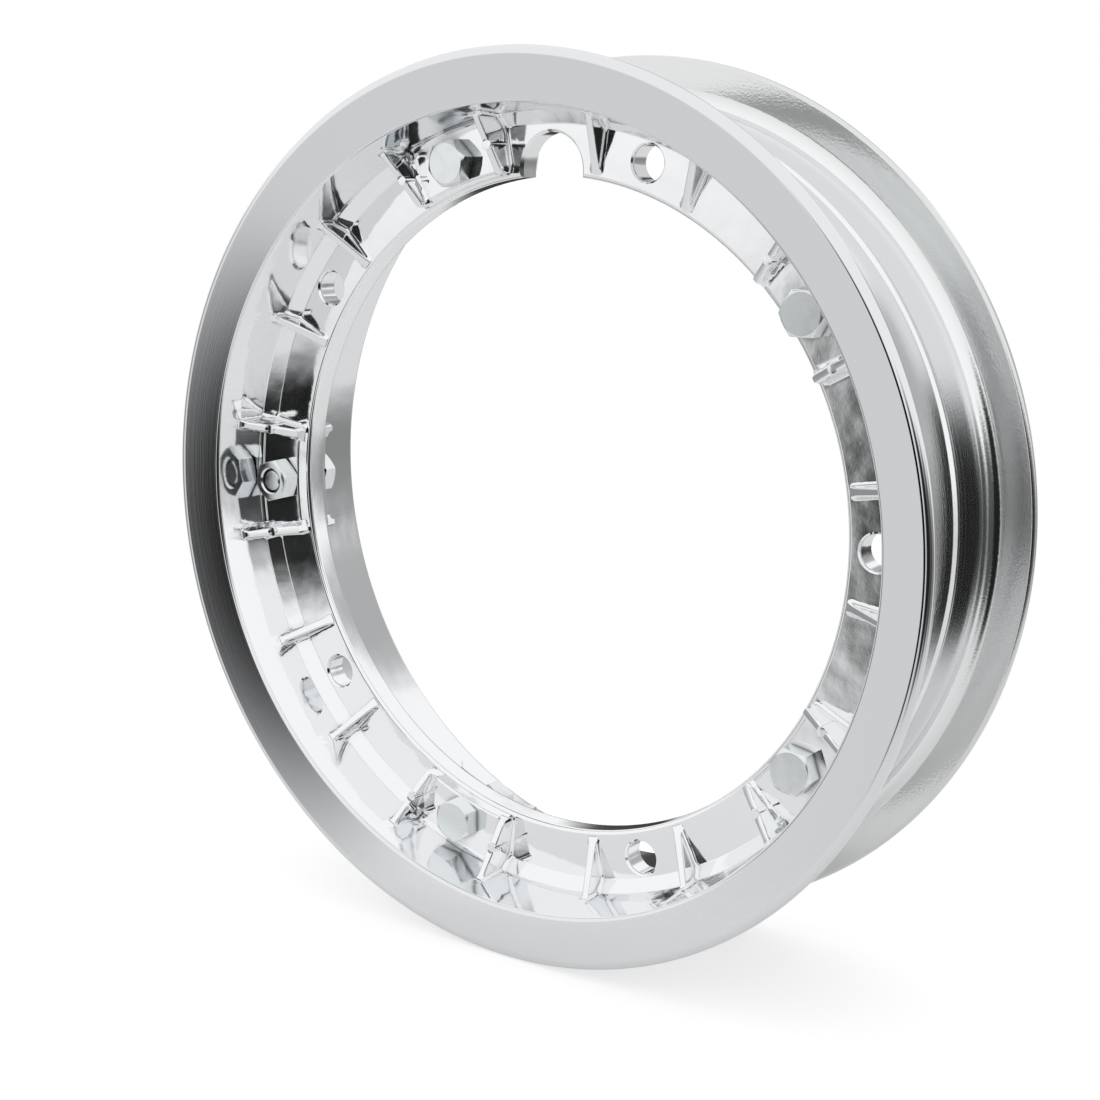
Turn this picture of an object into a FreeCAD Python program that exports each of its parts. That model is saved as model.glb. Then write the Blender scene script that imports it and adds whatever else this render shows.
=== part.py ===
"""Split rim wheel for a small scooter tyre.

Two ribbed cast halves meet at their webs and are clamped by a ring of bolts, one of which is turned round.
A squeezed rubber ring in a groove seals the joint, so the tyre needs no tube.

Millimetres. The axle line is Y, the front faces -Y, +Z is up through the valve notch, and the origin is the
middle of the overall width. Angles go round the axle from +X towards +Z.
"""
import FreeCAD, Part
import math
import os

# Tyre seat, the same on both halves
BEAD_SEAT_DIAMETER = 253.2
BEAD_WIDTH = 63.5
SEAT_TAPER = 4.0
SEAT_CORNER_RADIUS = 5.0
HUMP_HEIGHT = 0.6
HUMP_WIDTH = 4.4
HUMP_DISTANCE = 20.0

# Flanges and machined lips
FLANGE_HEIGHT = 13.4
FLANGE_THICKNESS = 4.75
FLANGE_LEAN = 4.0
LIP_FACE_TILT = 10.8
LIP_EDGE_RADIUS = 2.4
LIP_BACK_RADIUS = 1.2
MOUTH_DIAMETER = 248.2
MOUTH_EDGE_RADIUS = 1.4

# Straight steps along the round edges of the turned rings
SMALL_EDGE_CHORD_COUNT = 1
LARGE_EDGE_CHORD_COUNT = 3

# Webs, which meet in front of the middle of the width
SPLIT_OFFSET = 7.6
WEB_THICKNESS = 4.0
CENTRE_DIAMETER = 205.6
CENTRE_EDGE_RADIUS = 1.4
WALL_ROOT_DIAMETER = 243.8
CORNER_CHAMFER = 3.6

# Stations round the wheel: clamp bolts and open stud holes take turns
STATION_COUNT = 5
STATION_CIRCLE = 224.0
FIRST_STUD_ANGLE = 0.0
STUD_HOLE_DIAMETER = 10.6
STUD_HOLE_CHAMFER = 0.5

# Raised pads under the clamp bolts
PAD_HEIGHT = 3.0
PAD_DIAMETER = 210.6
PAD_EDGE_RADIUS = 0.8
PAD_CORNER_RADIUS = 2.0

# Gusset ribs, two beside every station; those beside a bolt stand higher
RIB_WIDTH = 2.2
RIB_DRAFT = 2.0
RIB_WALL_HEIGHT = 9.0
RIB_TOE_HEIGHT = 0.4
RIB_TOE_DIAMETER = 209.2
RIB_EDGE_BREAK = 0.5
TALL_RIB_RISE = 4.5

# Valve: a notch through both webs and a hole through the rear half's wall above it
VALVE_ANGLE = 90.0
NOTCH_WIDTH = 22.0
NOTCH_DEPTH = 12.9
NOTCH_EDGE_BREAK = 0.8
VALVE_HOLE_DIAMETER = 11.5
VALVE_HOLE_OFFSET = 10.0

# Seal ring: its round cord is squeezed to the depth of the groove in the rear half
SEAL_CORD_DIAMETER = 3.0
SEAL_GROOVE_DEPTH = 2.4
SEAL_GROOVE_DIAMETER = 241.0
SEAL_CORNER_RADIUS = 1.1
SEAL_SIDE_CLEARANCE = 0.2

# Clamp bolts and nuts
BOLT_DIAMETER = 8.0
BOLT_LENGTH = 20.0
BOLT_END_CHAMFER = 0.9
BOLT_HOLE_CLEARANCE = 0.25
THREAD_CLEARANCE = 0.1
HEX_ACROSS_FLATS = 13.0
HEX_CHAMFER_DIAMETER = 12.2
HEX_CHAMFER_ANGLE = 30.0
HEAD_HEIGHT = 5.3
NUT_HEIGHT = 6.5
NUT_MOUTH_CHAMFER = 0.5
TURNED_BOLT = 2
HEX_TURNS = (0.0, 16.0, 15.0, 30.0, 48.0)

# Sizes that follow from the above
seat_radius = BEAD_SEAT_DIAMETER / 2
lip_radius = seat_radius + FLANGE_HEIGHT
mouth_radius = MOUTH_DIAMETER / 2
wall_root_radius = WALL_ROOT_DIAMETER / 2
centre_radius = CENTRE_DIAMETER / 2
station_radius = STATION_CIRCLE / 2
half_width = BEAD_WIDTH / 2 + FLANGE_THICKNESS
split_y = -SPLIT_OFFSET
front_depth = half_width - SPLIT_OFFSET
rear_depth = half_width + SPLIT_OFFSET
pad_face = WEB_THICKNESS + PAD_HEIGHT
station_pitch = 360 / STATION_COUNT
rib_angle = station_pitch / 8
stud_angles = [FIRST_STUD_ANGLE + station_pitch * k for k in range(STATION_COUNT)]
bolt_angles = [angle + station_pitch / 2 for angle in stud_angles]

# How far raised shapes sink into the ring, and cutters reach past it
bury = WEB_THICKNESS / 4

ORIGIN = FreeCAD.Vector(0, 0, 0)
AXLE = FreeCAD.Vector(0, 1, 0)
ROUND_AXLE = FreeCAD.Vector(0, -1, 0)


def turned(shape, degrees):
    """Copy of a shape turned round the axle."""
    copy = shape.copy()
    copy.rotate(ORIGIN, ROUND_AXLE, degrees)
    return copy


def moved(shape, x=0, y=0, z=0):
    """Copy of a shape moved along the axes."""
    copy = shape.copy()
    copy.translate(FreeCAD.Vector(x, y, z))
    return copy


def profile(corners):
    """Face in the plane z = 0 from corners (x, y) or (x, y, rounding, chords)."""
    sharp = [FreeCAD.Vector(corner[0], corner[1], 0) for corner in corners]
    points = []
    for index, corner in enumerate(corners):
        if len(corner) == 2:
            points.append(sharp[index])
        else:
            following = sharp[(index + 1) % len(sharp)]
            points += rounded(sharp[index - 1], sharp[index], following, *corner[2:])
    return Part.Face(Part.makePolygon(points + points[:1]))


def rounded(last, corner, following, radius, chords):
    """Points of the tangent arc that rounds a corner between its two neighbours; one chord is a chamfer."""
    to_last = (last - corner).normalize()
    to_next = (following - corner).normalize()
    half_angle = to_last.getAngle(to_next) / 2
    centre = corner + (to_last + to_next).normalize() * (radius / math.sin(half_angle))
    start = corner + to_last * (radius / math.tan(half_angle)) - centre
    end = corner + to_next * (radius / math.tan(half_angle)) - centre
    sweep = start.getAngle(end)
    points = []
    for step in range(chords + 1):
        turn = sweep * step / chords
        arm = start * math.sin(sweep - turn) + end * math.sin(turn)
        points.append(centre + arm / math.sin(sweep))
    return points


def spun(corners, degrees=360.0):
    """Solid spun round the axle from a profile of (radius, axial place), centred on the +X direction."""
    return turned(profile(corners).revolve(ORIGIN, ROUND_AXLE, degrees), -degrees / 2)


def drilled(radius, bottom, top, circle_radius):
    """Round pin along the axle at a distance from it, on the +X side."""
    return Part.makeCylinder(radius, top - bottom, FreeCAD.Vector(circle_radius, bottom, 0), AXLE)


def lip_corner(depth, radius):
    """Axial place of the tilted lip face at a radius; its rounded edge reaches the half's depth."""
    tilt = math.radians(LIP_FACE_TILT)
    touch_radius = lip_radius - LIP_EDGE_RADIUS * (1 + math.sin(tilt))
    touch_place = depth - LIP_EDGE_RADIUS * (1 - math.cos(tilt))
    return touch_place - (touch_radius - radius) * math.tan(tilt)


def wall_radius(depth, place):
    """Radius of the drafted inner wall at an axial place of a half."""
    mouth_place = lip_corner(depth, mouth_radius)
    share = (place - WEB_THICKNESS) / (mouth_place - WEB_THICKNESS)
    return wall_root_radius + share * (mouth_radius - wall_root_radius)


def ring(depth):
    """Web, wall, bead seat, flange and lip of one half as a turned ring, joint face at y = 0."""
    flange_place = depth - FLANGE_THICKNESS
    back_place = flange_place + FLANGE_HEIGHT * math.tan(math.radians(FLANGE_LEAN))
    seat_fall = math.tan(math.radians(SEAT_TAPER))
    hump_place = flange_place - HUMP_DISTANCE
    hump_radius = seat_radius - HUMP_DISTANCE * seat_fall
    return spun([
        (centre_radius, 0),
        (centre_radius, WEB_THICKNESS, CENTRE_EDGE_RADIUS, SMALL_EDGE_CHORD_COUNT),
        (wall_root_radius - CORNER_CHAMFER, WEB_THICKNESS),
        (wall_radius(depth, WEB_THICKNESS + CORNER_CHAMFER), WEB_THICKNESS + CORNER_CHAMFER),
        (mouth_radius, lip_corner(depth, mouth_radius), MOUTH_EDGE_RADIUS, SMALL_EDGE_CHORD_COUNT),
        (lip_radius, lip_corner(depth, lip_radius), LIP_EDGE_RADIUS, LARGE_EDGE_CHORD_COUNT),
        (lip_radius, back_place, LIP_BACK_RADIUS, SMALL_EDGE_CHORD_COUNT),
        (seat_radius, flange_place, SEAT_CORNER_RADIUS, LARGE_EDGE_CHORD_COUNT),
        (hump_radius + HUMP_WIDTH / 2 * seat_fall, hump_place + HUMP_WIDTH / 2),
        (hump_radius + HUMP_HEIGHT, hump_place),
        (hump_radius, hump_place - HUMP_WIDTH / 2),
        (hump_radius, 0),
    ])


def pad(depth):
    """Raised pad that fills the bay between two tall ribs, on the +X side."""
    top = pad_face + 2 * PAD_CORNER_RADIUS
    pad_radius = PAD_DIAMETER / 2
    return spun([
        (pad_radius - PAD_HEIGHT / 2, WEB_THICKNESS - bury),
        (pad_radius, pad_face, PAD_EDGE_RADIUS, SMALL_EDGE_CHORD_COUNT),
        (wall_radius(depth, pad_face), pad_face, PAD_CORNER_RADIUS, SMALL_EDGE_CHORD_COUNT),
        (wall_radius(depth, top), top),
        (wall_radius(depth, top) + bury, top),
        (wall_radius(depth, top) + bury, WEB_THICKNESS - bury),
    ], 2 * rib_angle)


def rib(depth, rise):
    """Drafted gusset on the +X side, its crest falling from the wall to a toe near the web's inner edge."""
    foot = WEB_THICKNESS - bury
    toe_radius = RIB_TOE_DIAMETER / 2
    toe = WEB_THICKNESS + RIB_TOE_HEIGHT + rise
    crest = WEB_THICKNESS + RIB_WALL_HEIGHT + rise
    crest_radius = wall_radius(depth, crest)
    root_radius = crest_radius + bury
    root_crest = crest + bury * (crest - toe) / (crest_radius - toe_radius)
    spread = (root_crest - foot) * math.tan(math.radians(RIB_DRAFT))
    narrow = RIB_WIDTH / 2
    wide = narrow + spread
    side = profile([(toe_radius, foot), (toe_radius, toe), (root_radius, root_crest), (root_radius, foot)])
    slab = moved(side.extrude(FreeCAD.Vector(0, 0, 2 * wide)), z=-wide)
    section = [
        FreeCAD.Vector(toe_radius - bury, foot, -wide),
        FreeCAD.Vector(toe_radius - bury, root_crest, -narrow),
        FreeCAD.Vector(toe_radius - bury, root_crest, narrow),
        FreeCAD.Vector(toe_radius - bury, foot, wide),
    ]
    wedge = Part.Face(Part.makePolygon(section + section[:1]))
    blank = slab.common(wedge.extrude(FreeCAD.Vector(root_radius - toe_radius + 2 * bury, 0, 0)))
    crest_edges = [edge for edge in blank.Edges if runs_along_crest(edge, toe, root_crest)]
    return blank.makeChamfer(RIB_EDGE_BREAK, crest_edges)


def runs_along_crest(edge, toe, crest):
    """Whether an edge falls from the crest at the wall to the toe."""
    places = sorted(vertex.Point.y for vertex in edge.Vertexes)
    return abs(places[0] - toe) < RIB_TOE_HEIGHT / 4 and abs(places[1] - crest) < RIB_TOE_HEIGHT / 4


def stud_hole():
    """Cutter for an open stud hole in one web, broken at the web's outer face, on the +X side."""
    radius = STUD_HOLE_DIAMETER / 2
    hole = drilled(radius, -bury, pad_face, station_radius)
    mouth_place = WEB_THICKNESS - STUD_HOLE_CHAMFER
    mouth = Part.makeCone(radius, radius + 2 * STUD_HOLE_CHAMFER, 2 * STUD_HOLE_CHAMFER,
                          FreeCAD.Vector(station_radius, mouth_place, 0), AXLE)
    return hole.fuse(mouth)


def notch_outline(place, growth):
    """Closed U-shaped wire round the valve notch at an axial place, on the +X side."""
    radius = NOTCH_WIDTH / 2
    arc_radius = radius + growth
    arc_centre = centre_radius + NOTCH_DEPTH - radius
    mouth = centre_radius - radius
    left = FreeCAD.Vector(arc_centre, place, -arc_radius)
    right = FreeCAD.Vector(arc_centre, place, arc_radius)
    tip = FreeCAD.Vector(arc_centre + arc_radius, place, 0)
    far_left = FreeCAD.Vector(mouth, place, -arc_radius)
    far_right = FreeCAD.Vector(mouth, place, arc_radius)
    return Part.Wire([
        Part.Arc(left, tip, right).toShape(),
        Part.makeLine(right, far_right),
        Part.makeLine(far_right, far_left),
        Part.makeLine(far_left, left),
    ])


def notch():
    """Cutter for the valve notch in one web, broken at the web's outer face."""
    shank = Part.Face(notch_outline(-bury, 0)).extrude(FreeCAD.Vector(0, WEB_THICKNESS + 2 * bury, 0))
    edge_start = notch_outline(WEB_THICKNESS - NOTCH_EDGE_BREAK, 0)
    edge_end = notch_outline(WEB_THICKNESS + NOTCH_EDGE_BREAK, 2 * NOTCH_EDGE_BREAK)
    return shank.fuse(Part.makeLoft([edge_start, edge_end], True, True))


def cast_half(depth):
    """One half as cast and drilled, joint face at y = 0 and lip towards +Y."""
    low = rib(depth, 0)
    tall = rib(depth, TALL_RIB_RISE)
    bay = pad(depth)
    bolt_hole = drilled(BOLT_DIAMETER / 2 + BOLT_HOLE_CLEARANCE, -bury, pad_face + bury, station_radius)
    raised = []
    cutters = [turned(notch(), VALVE_ANGLE)]
    for angle in stud_angles:
        raised += [turned(low, angle - rib_angle), turned(low, angle + rib_angle)]
        cutters.append(turned(stud_hole(), angle))
    for angle in bolt_angles:
        raised += [turned(bay, angle), turned(tall, angle - rib_angle), turned(tall, angle + rib_angle)]
        cutters.append(turned(bolt_hole, angle))
    return ring(depth).multiFuse(raised).removeSplitter().cut(cutters)


def seal_width():
    """Width of the squeezed cord: flat sides and round ends that hold the round cord's area."""
    area = math.pi * SEAL_CORD_DIAMETER ** 2 / 4
    round_ends = math.pi * SEAL_GROOVE_DEPTH ** 2 / 4
    return SEAL_GROOVE_DEPTH + (area - round_ends) / SEAL_GROOVE_DEPTH


def seal_section(width, top):
    """Corners of a rectangle on the joint face at the groove, from the joint face to its floor."""
    middle = SEAL_GROOVE_DIAMETER / 2
    return [
        (middle - width / 2, -top),
        (middle - width / 2, SEAL_GROOVE_DEPTH),
        (middle + width / 2, SEAL_GROOVE_DEPTH),
        (middle + width / 2, -top),
    ]


def rim_seal():
    """Rubber ring as it lies squeezed in its groove."""
    edge = (SEAL_CORNER_RADIUS, SMALL_EDGE_CHORD_COUNT)
    corners = [corner + edge for corner in seal_section(seal_width(), 0)]
    return moved(spun(corners), y=split_y)


def front_half():
    """Front cast half, lip towards -Y."""
    return moved(cast_half(front_depth).mirror(ORIGIN, AXLE), y=split_y)


def rear_half():
    """Rear cast half, with the seal groove in its joint face and the valve hole in its wall."""
    groove = spun(seal_section(seal_width() + 2 * SEAL_SIDE_CLEARANCE, bury))
    hole_start = FreeCAD.Vector(station_radius, VALVE_HOLE_OFFSET, 0)
    valve_hole = Part.makeCylinder(VALVE_HOLE_DIAMETER / 2, FLANGE_HEIGHT + lip_radius - station_radius,
                                   hole_start, FreeCAD.Vector(1, 0, 0))
    half = cast_half(rear_depth).cut([groove, turned(valve_hole, VALVE_ANGLE)])
    return moved(half, y=split_y)


def hex_blank(height):
    """Hexagon along +Y from y = 0 with its corners turned off at the far end."""
    corner_radius = HEX_ACROSS_FLATS / math.sqrt(3)
    face_radius = HEX_CHAMFER_DIAMETER / 2
    drop = (corner_radius - face_radius) * math.tan(math.radians(HEX_CHAMFER_ANGLE))
    corners = [FreeCAD.Vector(corner_radius * math.cos(math.radians(60 * k)), 0,
                              corner_radius * math.sin(math.radians(60 * k))) for k in range(6)]
    prism = Part.Face(Part.makePolygon(corners + corners[:1])).extrude(FreeCAD.Vector(0, height, 0))
    return prism.common(spun([
        (0, 0),
        (corner_radius, 0),
        (corner_radius, height - drop),
        (face_radius, height),
        (0, height),
    ]))


def clamp_bolt():
    """Hex bolt with its bearing face at y = 0, head towards -Y."""
    radius = BOLT_DIAMETER / 2
    shank = spun([
        (0, -BOLT_END_CHAMFER),
        (radius, -BOLT_END_CHAMFER),
        (radius, BOLT_LENGTH - BOLT_END_CHAMFER),
        (radius - BOLT_END_CHAMFER, BOLT_LENGTH),
        (0, BOLT_LENGTH),
    ])
    return hex_blank(HEAD_HEIGHT).mirror(ORIGIN, AXLE).fuse(shank).removeSplitter()


def clamp_nut():
    """Hex nut with its bearing face at y = 0, standing towards +Y."""
    radius = BOLT_DIAMETER / 2 + THREAD_CLEARANCE
    mouth = radius + NUT_MOUTH_CHAMFER
    bore = spun([
        (0, 0),
        (mouth, 0),
        (radius, NUT_MOUTH_CHAMFER),
        (radius, NUT_HEIGHT - NUT_MOUTH_CHAMFER),
        (mouth, NUT_HEIGHT),
        (0, NUT_HEIGHT),
    ])
    return hex_blank(NUT_HEIGHT).cut(bore)


def at_stations(fastener, bearing):
    """Copies of a fastener at the bolt stations, each with its own hex turn, one turned to the other side."""
    copies = []
    for index, angle in enumerate(bolt_angles):
        copy = turned(moved(fastener, y=bearing), HEX_TURNS[index] - angle)
        if index == TURNED_BOLT:
            copy = copy.mirror(ORIGIN, AXLE)
        copies.append(moved(turned(moved(copy, x=station_radius), angle), y=split_y))
    return Part.makeCompound(copies)


def main():
    """Build every piece and write it out."""
    pieces = {
        "front_half": front_half(),
        "rear_half": rear_half(),
        "rim_seal": rim_seal(),
        "clamp_bolts": at_stations(clamp_bolt(), -pad_face),
        "clamp_nuts": at_stations(clamp_nut(), pad_face),
    }
    os.makedirs("parts", exist_ok=True)
    for name, shape in pieces.items():
        shape.exportStep(f"parts/{name}.step")
        print(name, len(shape.Solids), "solids", round(shape.Volume), "mm3, valid:", shape.isValid())


main()
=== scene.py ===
"""Looks of a split rim wheel: two polished cast halves, zinc-plated fasteners, a rubber seal and a studio.

Metres. The axle line is Y, the front faces -Y, +Z is up through the valve notch. A half is modelled with
its joint face at y = 0 and its lip towards +Y, and angles go round the axle from +X towards +Z.
"""
import math
from collections import namedtuple

import bmesh
import bpy
from mathutils import Matrix, Vector


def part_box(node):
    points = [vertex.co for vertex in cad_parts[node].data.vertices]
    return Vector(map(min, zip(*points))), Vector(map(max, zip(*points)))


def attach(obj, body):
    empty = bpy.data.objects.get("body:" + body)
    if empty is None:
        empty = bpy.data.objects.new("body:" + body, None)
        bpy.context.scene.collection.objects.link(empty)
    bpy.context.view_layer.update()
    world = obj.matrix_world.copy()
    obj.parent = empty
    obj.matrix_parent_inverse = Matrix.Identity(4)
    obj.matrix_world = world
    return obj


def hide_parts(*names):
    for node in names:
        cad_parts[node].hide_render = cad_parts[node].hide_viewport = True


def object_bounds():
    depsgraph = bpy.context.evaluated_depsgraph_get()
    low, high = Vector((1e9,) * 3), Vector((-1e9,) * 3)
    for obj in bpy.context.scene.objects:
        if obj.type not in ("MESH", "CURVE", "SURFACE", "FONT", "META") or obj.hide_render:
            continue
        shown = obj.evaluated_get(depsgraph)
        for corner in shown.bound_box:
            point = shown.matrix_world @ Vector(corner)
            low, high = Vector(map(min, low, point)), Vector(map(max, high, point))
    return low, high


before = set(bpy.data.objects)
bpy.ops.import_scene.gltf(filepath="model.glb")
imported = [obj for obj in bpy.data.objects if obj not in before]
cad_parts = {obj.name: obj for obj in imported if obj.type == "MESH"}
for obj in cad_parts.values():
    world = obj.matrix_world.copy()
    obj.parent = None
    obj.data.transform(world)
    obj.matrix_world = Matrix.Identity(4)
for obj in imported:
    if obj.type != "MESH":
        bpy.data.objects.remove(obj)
CAD_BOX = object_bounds()
FRONT_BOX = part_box("front_half")

bl_info = {
    "name": "Split Rim Wheel",
    "version": (1, 0, 0),
    "blender": (4, 5, 0),
    "location": "3D View > Sidebar > Split Rim",
    "description": "Builds a polished two-piece scooter rim with its fasteners and a studio round it",
    "category": "Add Mesh",
}

# Steps of round shapes
RING_STEPS = 360
PAD_STEPS = 18
ROUNDING_STEPS = 8
HOLE_STEPS = 48
RIB_LONG_STEPS = 20
RIB_HIGH_STEPS = 16
THREAD_STEPS = 32
HEX_EDGE_STEPS = 2
FLOOR_STEPS = 96

# Equal spaces from one bolt to the next, with a rib at the end of the first, third, fifth and seventh
RIB_SPACES = 8

# How far a rib and a pad are sunk, in shares of the web's thickness
# A rib's root rounding starts below the surface by a share of the rib's sink
RIB_SINK = 1 / 8
PAD_SINK = 1 / 4
ROOT_SINK = 1 / 4

# Thread profile in shares of the pitch, and the turns that are made to be cut off
THREAD_ROOT_END = 1 / 8
THREAD_CREST_START = 7 / 16
THREAD_CREST_END = 11 / 16
THREAD_SPARE_TURNS = 2

HEX_SIDES = 6
HEX_EDGE_ANGLE = math.radians(20)
SMOOTH_ANGLE = math.radians(32)
FLAT_FACE_WEIGHT = 100
SEAT_FACING = 0.5
WELD_DISTANCE = 1e-7
SIZE_DIGITS = 5
CLIP_START = 0.01
CASTING, LIP, SEAT = range(3)
AXLE = Vector((0, 1, 0))
ACROSS_AXLE = (1, 0, 1)
ORIGIN = Vector((0, 0, 0))

# Grain of the finishes: features in a metre, finer layers, and depth in metres where it shapes the surface
Grain = namedtuple("Grain", "scale detail depth", defaults=(0,))
CASTING_WAVES = Grain(100, 1.0, 0.00013)
CASTING_PEEL = Grain(600, 2.0, 0.000008)
CASTING_CLOUD = Grain(45, 2.0)
LIP_RINGS = Grain(2600, 3.0, 0.000004)
SEAT_RINGS = Grain(900, 3.0, 0.00001)
SEAT_GRAIN = Grain(1500, 2.0, 0.000025)
ZINC_CLOUD = Grain(300, 4.0)
ZINC_GRAIN = Grain(1800, 2.0, 0.000003)
RUBBER_GRAIN = Grain(2500, 2.0, 0.00002)

# Lowest and highest roughness, in multiples of a finish's own
CASTING_SWING = (0.6, 1.5)
LIP_SWING = (0.85, 1.15)
SEAT_SWING = (0.8, 1.4)
ZINC_SWING = (0.8, 1.4)
RUBBER_SWING = (1.0, 1.4)
NOISE_LOW = 0.3
NOISE_HIGH = 0.7

# Painted shade in creases: reach in metres, and the open share of the view at which creases are fully
# shaded and not shaded at all
CASTING_SHADE_REACH = 0.004
ZINC_SHADE_REACH = 0.003
CREASE_FULL_SHADE = 0.25
CREASE_NO_SHADE = 0.8
CREASE_SHADE_SAMPLES = 8

# Sockets of a colour mix
MIX_FIRST = 6
MIX_SECOND = 7
MIX_RESULT = 2

# Shares of the floor's radius where it fades
# Brightness below the horizon, and the heights between which it turns to white
FLOOR_FADE = (0.5, 0.98)
HORIZON = (-0.2, 0.06)
GROUND_LEVEL = 0.74

# Dark flags of the studio: azimuth, elevation, radius that is fully dark, radius where it ends, brightness
FLAGS = (
    (-15, -8, 9, 16, 0.0),
    (34, -8, 15, 27, 0.02),
    (70, -8, 13, 27, 0.10),
    (104, -8, 10, 22, 0.30),
    (147, -8, 6, 16, 0.35),
    (152, 16, 8, 20, 0.45),
    (175, -4, 8, 20, 0.45),
    (198, 20, 7, 16, 0.45),
    (216, -6, 14, 26, 0.06),
    (-75, -6, 10, 24, 0.40),
)


def length(name, description, default):
    """Property for a size in metres."""
    return bpy.props.FloatProperty(name=name, description=description, default=default, unit="LENGTH",
                                   precision=SIZE_DIGITS)


def spot(name, description, default):
    """Property for a place in metres."""
    return bpy.props.FloatVectorProperty(name=name, description=description, default=default,
                                         subtype="XYZ", unit="LENGTH")


def turn(name, description, degrees):
    """Property for an angle, given in degrees."""
    return bpy.props.FloatProperty(name=name, description=description, default=math.radians(degrees),
                                   subtype="ANGLE", unit="ROTATION")


def colour(name, description, default):
    """Property for a colour."""
    return bpy.props.FloatVectorProperty(name=name, description=description, default=default,
                                         subtype="COLOR", size=4, min=0, max=1)


def share(name, description, default):
    """Property for a number from 0 to 1."""
    return bpy.props.FloatProperty(name=name, description=description, default=default, subtype="FACTOR",
                                   min=0, max=1)


class RimSizes(bpy.types.PropertyGroup):
    """Sizes of the cast halves."""
    lip_radius: length("Lip radius", "Outside of the flanges", CAD_BOX[1].z)
    half_width: length("Half width", "From the middle of the width to a lip", CAD_BOX[1].y)
    split_place: length("Split place", "Axial place of the joint faces", FRONT_BOX[1].y)
    seat_radius: length("Seat radius", "Bead seat beside the flange", 0.1266)
    seat_taper: turn("Seat taper", "Fall of the bead seat towards the hump", 4)
    seat_corner: length("Seat corner", "Rounding between seat and flange", 0.005)
    hump_height: length("Hump height", "Rise of the safety hump", 0.0006)
    hump_width: length("Hump width", "Width of the safety hump", 0.0044)
    hump_distance: length("Hump distance", "From the flange to the hump", 0.020)
    flange_thickness: length("Flange thickness", "Flange at the bead seat", 0.00475)
    flange_lean: turn("Flange lean", "Outward lean of the flange", 4)
    lip_tilt: turn("Lip tilt", "Fall of the lip face towards the mouth", 10.8)
    lip_edge: length("Lip edge", "Rounding of the lip's outer edge", 0.0024)
    lip_back: length("Lip back", "Rounding of the flange's back edge", 0.0012)
    mouth_radius: length("Mouth radius", "Where the wall meets the lip face", 0.1241)
    mouth_edge: length("Mouth edge", "Rounding of the mouth", 0.0014)
    web: length("Web", "Thickness of one web", 0.004)
    centre_radius: length("Centre radius", "Open centre of the webs", 0.1028)
    centre_edge: length("Centre edge", "Rounding of the centre's edge", 0.0014)
    wall_root: length("Wall root", "Radius of the inner wall at the web", 0.1219)
    corner: length("Corner", "Chamfer between wall and web", 0.0036)
    corner_edge: length("Corner edge", "Rounding of the chamfer's edges", 0.0007)
    joint_break: length("Joint break", "Chamfer at the outside of the joint", 0.0004)
    groove_radius: length("Groove radius", "Middle of the seal groove", 0.1205)
    groove_width: length("Groove width", "Width of the seal groove", 0.00386)
    groove_depth: length("Groove depth", "Depth of the seal groove", 0.0024)
    stations: bpy.props.IntProperty(name="Stations", description="Clamp bolts, and stud holes",
                                    default=5, min=3)
    station_radius: length("Station radius", "Circle of the bolts and studs", 0.112)
    stud_hole: length("Stud hole", "Radius of a stud hole", 0.0053)
    stud_edge: length("Stud edge", "Rounding of a stud hole's edge", 0.0007)
    bolt_hole: length("Bolt hole", "Radius of a bolt hole", 0.00425)
    pad_height: length("Pad height", "Rise of a bolt pad above the web", 0.003)
    pad_radius: length("Pad radius", "Inner end of a bolt pad", 0.1053)
    pad_edge: length("Pad edge", "Rounding of a pad's inner end", 0.0008)
    pad_corner: length("Pad corner", "Rounding between pad and wall", 0.002)
    rib_width: length("Rib width", "Width of a rib's crest", 0.0022)
    rib_draft: turn("Rib draft", "Draft of a rib's sides", 2)
    rib_height: length("Rib height", "Rise of a rib at the wall", 0.009)
    rib_toe: length("Rib toe", "Rise of a rib at its toe", 0.0004)
    rib_toe_radius: length("Rib toe radius", "Radius of a rib's toe", 0.1046)
    rib_edge: length("Rib edge", "Rounding of a rib's crest", 0.0006)
    rib_root: length("Rib root", "Rounding where a rib meets web and wall", 0.0018)
    tall_rise: length("Tall rise", "Extra height of the ribs beside a bolt", 0.0045)
    mark_radius: length("Mark radius", "Ejector mark on a tall rib", 0.0016)
    mark_edge: length("Mark edge", "Rounding of an ejector mark", 0.00025)
    mark_circle: length("Mark circle", "Circle of the ejector marks", 0.1134)
    valve_angle: turn("Valve angle", "Place of the valve notch", 90)
    notch_radius: length("Notch radius", "Round end of the valve notch", 0.011)
    notch_depth: length("Notch depth", "Depth of the notch from the centre's edge", 0.0129)
    notch_edge: length("Notch edge", "Broken edge of the notch", 0.0009)
    valve_hole: length("Valve hole", "Radius of the hole in the rear wall", 0.00575)
    valve_offset: length("Valve offset", "From the joint to the valve hole", 0.010)


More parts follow.
